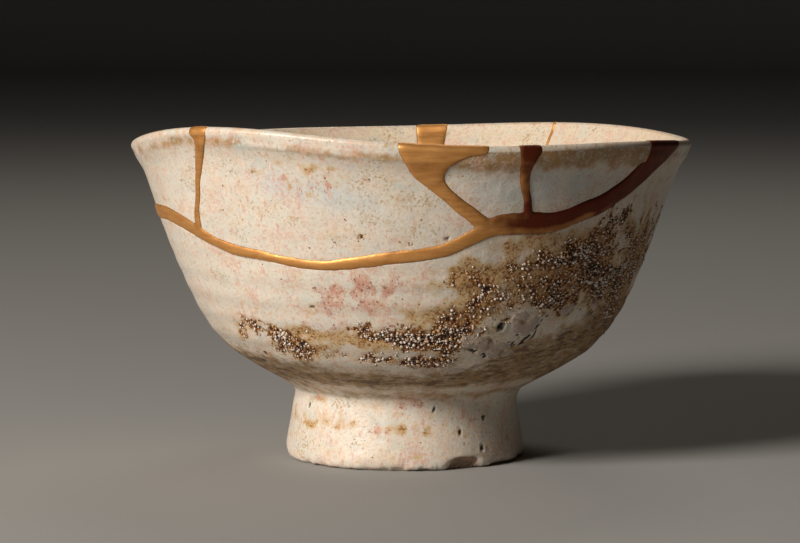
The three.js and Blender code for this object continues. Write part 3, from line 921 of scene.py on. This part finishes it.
# Feldspar glaze over brown stoneware, thick and dipped: milky cream, blue-grey where thick, pink where thin,
# crawled into beads over the dark clay, islands of smooth glaze with cracks below them, iron specks all over.
def feldsparGlaze():
    material, tree, where = newMaterial("dipped feldspar glaze over stoneware")
    mask = {key: addNode(tree, "Attribute", attribute_name=key).outputs["Fac"]
            for key in (*maskNames, "inside")}

    def cut(source, roughen, amount, low, high):
        # a soft mask is roughened with noise centred on zero, then cut between low and high
        centred = addNode(tree, "Math", {0: roughen, 1: 0.5}, operation="SUBTRACT").outputs[0]
        shifted = addNode(tree, "Math", {0: centred, 1: amount, 2: source}, operation="MULTIPLY_ADD")
        return addNode(tree, "MapRange", {"Value": shifted.outputs[0], "From Min": low, "From Max": high},
                       interpolation_type="SMOOTHSTEP").outputs[0]

    clouds = {      # feature size in mm, detail, roughness, and how the noise is squeezed along the axes
        "tone": (13, 4.0, 0.6, (1, 1, 1)),
        "mottle": (2.4, 5.0, 0.68, (1, 1, 1)),
        "grain": (0.8, 4.0, 0.75, (1, 1, 1)),
        "freckle": (0.62, 2.0, 0.5, (1, 1, 1)),
        "patches": (9.0, 3.0, 0.6, (1, 1, 1)),
        "pools": (5.0, 4.0, 0.6, (1, 1, 1)),
        "clumps": (2.8, 3.0, 0.6, (1, 1, 1)),
        "streak": (7, 5.0, 0.6, (1, 1, 2.2)),
        "runs": (1.5, 4.0, 0.6, (1, 1, 0.3)),
        "lines": (1.6, 5.0, 0.7, (0.4, 0.4, 1.6)),
    }
    noises = []
    for size, detail, roughness, squeeze in clouds.values():
        squeezed = addNode(tree, "Mapping", {"Vector": where, "Scale": squeeze}).outputs[0]
        noises.append(addNode(tree, "TexNoise", {"Vector": squeezed, "Scale": perMm / size, "Detail": detail,
                                                 "Roughness": roughness}).outputs["Fac"])
    tone, mottle, grain, freckle, patches, pools, clumps, streak, runs, lines = noises
    cells = addNode(tree, "TexVoronoi", {"Vector": where, "Scale": perMm / 0.8}).outputs["Distance"]
    specks = addNode(tree, "TexVoronoi", {"Vector": where, "Scale": perMm / 2.4})
    few = addNode(tree, "SeparateColor", {"Color": specks.outputs["Color"]})
    sparse = addNode(tree, "Math", {0: few.outputs[0], 1: 0.76}, operation="GREATER_THAN").outputs[0]
    dotSize = addNode(tree, "Math", {0: few.outputs[1], 1: 0.09, 2: 0.02}, operation="MULTIPLY_ADD")
    dot = addNode(tree, "Math", {0: specks.outputs["Distance"], 1: dotSize.outputs[0]},
                  operation="LESS_THAN").outputs[0]
    dots = addNode(tree, "Math", {0: dot, 1: sparse}, operation="MULTIPLY").outputs[0]

    isle = cut(mask["island"], clumps, 1.2, 0.40, 0.56)
    gapBase = -0.65
    for share, amount in ((clumps, 1.3), (cells, 0.9), (mask["crawl"], 0.95)):
        gapBase = addNode(tree, "Math", {0: share, 1: amount, 2: gapBase},
                          operation="MULTIPLY_ADD").outputs[0]
    within = addNode(tree, "MapRange", {"Value": mask["crawl"], "From Min": 0.04,
                                        "From Max": 0.22}).outputs[0]
    opened = cut(gapBase, grain, 0.8, 0.80, 1.10)
    gaps = addNode(tree, "Math", {0: opened, 1: within}, operation="MULTIPLY").outputs[0]
    deepest = cut(gapBase, grain, 0.8, 1.12, 1.42)
    deep = addNode(tree, "Math", {0: deepest, 1: gaps}, operation="MULTIPLY").outputs[0]
    crack = cut(mask["crack"], grain, 1.0, 0.42, 0.75)
    blushed = cut(mask["blush"], runs, 3.4, 0.20, 1.30)
    blushRim = addNode(tree, "MapRange", {"Value": mask["blush"], "From Min": 0.06,
                                          "From Max": 0.4}).outputs[0]

    colour = addNode(tree, "MixRGB", {"Fac": tone, "Color1": hexLinear("#DDCCB6"),
                                      "Color2": hexLinear("#E6E0D4")}).outputs[0]
    layers = [
        (cut(pools, mottle, 0.9, 0.44, 0.80), "#E2CCB4"),           # faint pink where the glaze is thinner
        (cut(streak, mottle, 0.8, 0.52, 0.90), "#D2BC9A"),          # thinner bands left by the dipping
        (cut(mask["cool"], pools, 1.6, 0.15, 1.30), "#CBD0CE"),     # thick, blue-grey
        (cut(mask["inside"], tone, 0.8, 0.2, 1.9), "#E0C9A4"),
        (cut(mask["tan"], mottle, 1.2, 0.10, 1.00), "#A88250"),     # thin on the shoulder, warm from the clay
        (cut(runs, pools, 0.8, 0.56, 0.84), "#DEBFAC"),             # pinkish runs down the wall
        (cut(freckle, patches, 0.9, 0.52, 0.82), "#DCB29E"),        # clouds of pink freckles
        (cut(freckle, patches, -0.9, 0.60, 0.86), "#B49A76"),       # and of brown ones between them
        (cut(grain, pools, -0.9, 0.54, 0.80), "#C9CEC4"),           # and of grey ones
        (cut(mask["ochre"], clumps, 1.2, 0.05, 1.00), "#D2B68C"),
        (cut(mask["ochre"], grain, 3.0, 0.50, 1.50), "#B88C54"),
        (cut(mask["ochre"], freckle, 3.0, 0.85, 1.45), "#8E5A26"),
        (blushed, "#D09C86"),
        (cut(blushRim, freckle, -3.4, 1.20, 1.6), "#9A6A52"),       # dotted dark where a pink run ends
        (cut(mask["rust"], mottle, 1.6, 0.25, 1.15), "#C49C66"),
        (cut(mask["rust"], grain, 2.6, 0.66, 1.40), "#A87034"),
        (cut(mask["rust"], freckle, 3.4, 0.95, 1.35), "#6A3E1A"),
        (cut(mask["umber"], mottle, 2.6, 0.05, 1.25), "#A07E50"),
        (cut(mask["umber"], lines, 3.0, 0.70, 1.50), "#5C3E20"),
        (cut(mask["umber"], mottle, 3.4, 1.30, 2.00), "#4A321C"),
        (cut(mask["umber"], grain, 3.4, 1.25, 1.80), "#B49C7C"),
        (gaps, "#8A5420"),
        (deep, "#2E1608"),                                          # bare clay burnt dark between the beads
        (cut(mask["crawl"], runs, 2.6, 1.20, 1.50), "#8F8273"),     # grey glaze that ran between the beads
        (isle, "#B8A496"),
        (cut(isle, mottle, 2.6, 0.95, 1.50), "#CFBEAC"),
        (cut(isle, clumps, 3.4, 1.00, 1.50), "#8C7150"),
        (cut(isle, freckle, 3.2, 1.42, 1.7), "#6E5744"),
        (cut(mask["clay"], grain, 0.9, 0.45, 0.85), "#B0937C"),
        (cut(mask["clay"], freckle, 2.8, 1.15, 1.5), "#7E6350"),
        (dots, "#8A6540"),
        (crack, "#21140C"),
        (mask["pit"], "#24160E"),
    ]
    for share, code in layers:
        colour = addNode(tree, "MixRGB", {"Fac": share, "Color1": colour,
                                          "Color2": hexLinear(code)}).outputs[0]
    mottled = addNode(tree, "MapRange", {"Value": mottle, "From Min": 0.25, "From Max": 0.75, "To Min": 0.88,
                                         "To Max": 1.06}).outputs[0]
    grained = addNode(tree, "MapRange", {"Value": grain, "From Min": 0.25, "From Max": 0.75, "To Min": 0.86,
                                         "To Max": 1.12}).outputs[0]
    shade = addNode(tree, "Math", {0: mottled, 1: grained}, operation="MULTIPLY").outputs[0]
    colour = addNode(tree, "VectorMath", {0: colour, 1: shade}, operation="MULTIPLY").outputs[0]

    rough = addNode(tree, "MapRange", {"Value": mottle, "From Min": 0.3, "From Max": 0.7, "To Min": 0.28,
                                       "To Max": 0.46}).outputs[0]
    for share, value in ((gaps, 0.8), (mask["umber"], 0.6), (isle, 0.42), (mask["clay"], 0.92)):
        rough = addNode(tree, "Mix", {0: share, 2: rough, 3: value}).outputs[0]
    high = addNode(tree, "Math", {0: grain, 1: 0.6, 2: mottle}, operation="MULTIPLY_ADD").outputs[0]
    for share, amount in ((gaps, -0.9), (isle, 0.9), (dots, -0.6), (crack, -1.2)):
        high = addNode(tree, "Math", {0: share, 1: amount, 2: high}, operation="MULTIPLY_ADD").outputs[0]
    bump = addNode(tree, "Bump", {"Height": high, "Strength": 0.7, "Distance": 0.16 * mm})
    shader = addNode(tree, "BsdfPrincipled", {"Base Color": colour, "Roughness": rough, "IOR": 1.5,
                                              "Normal": bump.outputs[0]})
    addNode(tree, "OutputMaterial", {"Surface": shader.outputs[0]})
    return material


# The same glaze drawn up into beads: glassy, milky white to tan, brown where a bead thins at its foot.
def beadedGlaze():
    material, tree, where = newMaterial("beaded feldspar glaze")
    tone = addNode(tree, "Attribute", attribute_name="tone").outputs["Fac"]
    level = addNode(tree, "Attribute", attribute_name="level").outputs["Fac"]
    grain = addNode(tree, "TexNoise", {"Vector": where, "Scale": perMm / 3, "Detail": 3.0}).outputs["Fac"]
    pale = addNode(tree, "MixRGB", {"Fac": tone, "Color1": hexLinear("#A87C50"),
                                    "Color2": hexLinear("#FBF5EC")})
    warm = addNode(tree, "MapRange", {"Value": grain, "From Min": 0.50, "From Max": 0.66}).outputs[0]
    warmed = addNode(tree, "MixRGB", {"Fac": warm, "Color1": pale.outputs[0],
                                      "Color2": hexLinear("#CC9C62")})
    foot = addNode(tree, "MapRange", {"Value": level, "From Min": 0.25, "From Max": 0.95}).outputs[0]
    colour = addNode(tree, "MixRGB", {"Fac": foot, "Color1": hexLinear("#5A3416"),
                                      "Color2": warmed.outputs[0]})
    rough = addNode(tree, "MapRange", {"Value": grain, "To Min": 0.12, "To Max": 0.34}).outputs[0]
    bump = addNode(tree, "Bump", {"Height": grain, "Strength": 0.3, "Distance": 0.05 * mm})
    shader = addNode(tree, "BsdfPrincipled", {"Base Color": colour.outputs[0], "Roughness": rough,
                                              "Normal": bump.outputs[0], "Coat Weight": 0.2,
                                              "Coat Roughness": 0.1})
    addNode(tree, "OutputMaterial", {"Surface": shader.outputs[0]})
    return material


# Kintsugi gold: gold and copper powder dusted on lacquer and burnished, a satin bronze with upright brush
# streaks, dark lacquer at the edges, and red-brown lacquer towards the right end that is painted shade, shown
# as gold worn thin.
def burnishedGold():
    material, tree, where = newMaterial("burnished kintsugi gold on lacquer")
    depth = addNode(tree, "Attribute", attribute_name="depth").outputs["Fac"]
    stretched = addNode(tree, "Mapping", {"Vector": where, "Scale": (0.12, 0.12, 1)}).outputs["Vector"]
    streak = addNode(tree, "TexNoise", {"Vector": stretched, "Scale": perMm / 0.8, "Detail": 4.0,
                                        "Roughness": 0.6}).outputs["Fac"]
    patch = addNode(tree, "TexNoise", {"Vector": where, "Scale": perMm / 5, "Detail": 4.0}).outputs["Fac"]
    grain = addNode(tree, "TexNoise", {"Vector": where, "Scale": perMm / 0.4, "Detail": 2.0}).outputs["Fac"]
    tint = addNode(tree, "MixRGB", {"Fac": streak, "Color1": hexLinear("#BE7630"),
                                    "Color2": hexLinear("#F8BC74")})
    # painted shade: the attribute below and the mix it drives darken the seam's right end to red-brown
    # lacquer
    wearAndPaintedShade = addNode(tree, "Attribute", attribute_name="wearAndPaintedShade").outputs["Fac"]
    rubbedAndShaded = addNode(tree, "Math", {0: patch, 1: 1.2, 2: wearAndPaintedShade}, operation="MULTIPLY_ADD").outputs[0]
    worn = addNode(tree, "MapRange", {"Value": rubbedAndShaded, "From Min": 0.68, "From Max": 1.4}).outputs[0]
    shadedTint = addNode(tree, "MixRGB", {"Fac": worn, "Color1": tint.outputs[0],
                                      "Color2": hexLinear("#6A2A12")})
    inner = addNode(tree, "Math", {0: grain, 1: 0.5, 2: depth}, operation="MULTIPLY_ADD").outputs[0]
    edge = addNode(tree, "MapRange", {"Value": inner, "From Min": 0.28, "From Max": 0.62}).outputs[0]
    colour = addNode(tree, "MixRGB", {"Fac": edge, "Color1": hexLinear("#4A2A16"),
                                      "Color2": shadedTint.outputs[0]})
    rough = addNode(tree, "MapRange", {"Value": patch, "From Min": 0.3, "From Max": 0.7, "To Min": 0.42,
                                       "To Max": 0.58}).outputs[0]
    high = addNode(tree, "Math", {0: streak, 1: 0.8, 2: grain}, operation="MULTIPLY_ADD").outputs[0]
    bump = addNode(tree, "Bump", {"Height": high, "Strength": 0.5, "Distance": 0.09 * mm})
    metal = addNode(tree, "MapRange", {"Value": edge, "To Min": 0.3, "To Max": 0.7}).outputs[0]
    shader = addNode(tree, "BsdfPrincipled", {"Base Color": colour.outputs[0], "Metallic": metal,
                                              "Roughness": rough, "Normal": bump.outputs[0]})
    addNode(tree, "OutputMaterial", {"Surface": shader.outputs[0]})
    return material


print("mixing the glazes and the gold")
glazeMaterial = feldsparGlaze()
beadMaterial = beadedGlaze()
goldMaterial = burnishedGold()
for made in pieces.values():
    made.data.materials.append(glazeMaterial)
for made in (beadsFront, beadsBack):
    made.data.materials.append(beadMaterial)
for made in (gold, hairline):
    made.data.materials.append(goldMaterial)


# A plain pale floor that turns up into a wall all the way round: radius and height of its profile, in metres.
studio = {"pale": "#9C9A96", "deep": "#979591", "flat": 4.0, "sweep": 2.0, "wall": 3.5, "sides": 96}


def buildFloor():
    turn = np.linspace(0, math.pi / 2, 24)
    radius = np.concatenate([[0.0, 0.3, 1.0], studio["flat"] + studio["sweep"] * np.sin(turn)])
    height = np.concatenate([[0.0, 0.0, 0.0], studio["sweep"] * (1 - np.cos(turn))])
    radius = np.append(radius, radius[-1])
    height = np.append(height, studio["wall"])
    spin = np.linspace(0, 2 * math.pi, studio["sides"], endpoint=False)[None, :]
    points = np.stack([radius[:, None] * np.sin(spin), -radius[:, None] * np.cos(spin),
                       height[:, None] + 0 * spin], axis=-1).reshape(-1, 3)
    mesh = bpy.data.meshes.new("studio floor")
    faces = gridFaces(len(radius), studio["sides"], closeColumns=True)
    mesh.from_pydata(points.tolist(), [], faces.tolist())
    mesh.polygons.foreach_set("use_smooth", np.ones(len(mesh.polygons), bool))
    made = bpy.data.objects.new("studio floor", mesh)
    bpy.context.scene.collection.objects.link(made)
    material, tree, where = newMaterial("matt paper backdrop")
    fibre = addNode(tree, "TexNoise", {"Vector": where, "Scale": 900.0, "Detail": 3.0}).outputs["Fac"]
    colour = addNode(tree, "MixRGB", {"Fac": fibre, "Color1": hexLinear(studio["deep"]),
                                      "Color2": hexLinear(studio["pale"])})
    shader = addNode(tree, "BsdfPrincipled", {"Base Color": colour.outputs[0], "Roughness": 0.85})
    addNode(tree, "OutputMaterial", {"Surface": shader.outputs[0]})
    mesh.materials.append(material)
    return made


buildFloor()


# Softboxes: place and width in metres, power in watts, colour.
softboxes = {
    "key softbox": ((-0.90, -0.86, 0.66), 0.45, 24.5, "#FFF9F2"),
    "back softbox": ((0.15, 0.9, 1.1), 0.5, 2.2, "#FFF6EA"),
}
middle = Vector((0, 0, 0.05))
for name, (spot, size, power, shade) in softboxes.items():
    lamp = bpy.data.lights.new(name, "AREA")
    lamp.shape, lamp.size, lamp.energy = "DISK", size, power
    lamp.color = hexLinear(shade)[:3]
    made = bpy.data.objects.new(name, lamp)
    made.location = spot
    made.rotation_euler = (middle - Vector(spot)).to_track_quat("-Z", "Y").to_euler()
    bpy.context.scene.collection.objects.link(made)

world = bpy.data.worlds.new("studio")
world.use_nodes = True
air = world.node_tree.nodes["Background"].inputs
air["Color"].default_value = hexLinear("#D6CFC6")
air["Strength"].default_value = 0.006
bpy.context.scene.world = world
bpy.context.scene.view_settings.view_transform = "Standard"

# A long lens, a little above the rim and tipped slightly down.
lens = bpy.data.cameras.new("camera")
lens.sensor_width, lens.lens = 36, 136
camera = bpy.data.objects.new("camera", lens)
camera.location = (-0.00285, -0.780, 0.119)
camera.rotation_euler = (math.radians(84.77), 0, 0)
bpy.context.scene.collection.objects.link(camera)
bpy.context.scene.camera = camera
